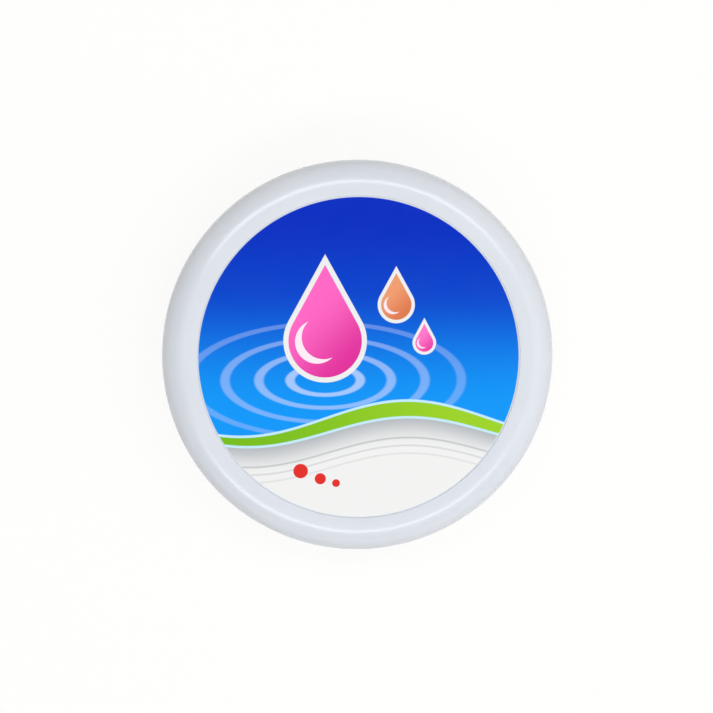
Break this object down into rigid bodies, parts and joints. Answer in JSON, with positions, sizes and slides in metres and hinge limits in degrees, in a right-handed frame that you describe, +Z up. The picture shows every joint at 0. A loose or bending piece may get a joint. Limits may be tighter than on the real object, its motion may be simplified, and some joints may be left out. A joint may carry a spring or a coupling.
{
  "type": "finger moistener",
  "caption": "Low round white plastic jar holding a cake of tacky wax for moistening fingertips when counting paper, closed by a smooth screw lid with a label.",
  "frame": {"origin": "middle of the plane that the jar's foot ring stands on", "axes": "+Z up along the axis of the jar, its thread and its lid; +X and +Y are free, and +Y is the top of the label's print"},
  "size_m": [0.07, 0.07, 0.0236],
  "materials": {
    "jar_plastic": "satin",
    "lid_plastic": "satin",
    "wax": "satin",
    "liner_foam": "matte",
    "label_print": "gloss"
  },
  "bodies": {
    "jar": {"jar": "jar_plastic", "counting_wax": "wax"},
    "lid_liner": {"lid_liner": "liner_foam"},
    "lid": {"lid": "lid_plastic", "lid_label": "label_print"}
  },
  "joints": [
    {"name": "lid_rise", "type": "slide", "parent": "jar", "child": "lid_liner", "axis": [0, 0, 1], "range_m": [0, 0.024]},
    {"name": "lid_turn", "type": "hinge", "parent": "lid_liner", "child": "lid", "pos_m": [0, 0, 0.0209], "axis": [0, 0, 1], "range_deg": [0, 720]}
  ],
  "couplings": [
    {"joint": "lid_rise", "follows": "lid_turn", "m_per_rad": 0.0019099}
  ]
}
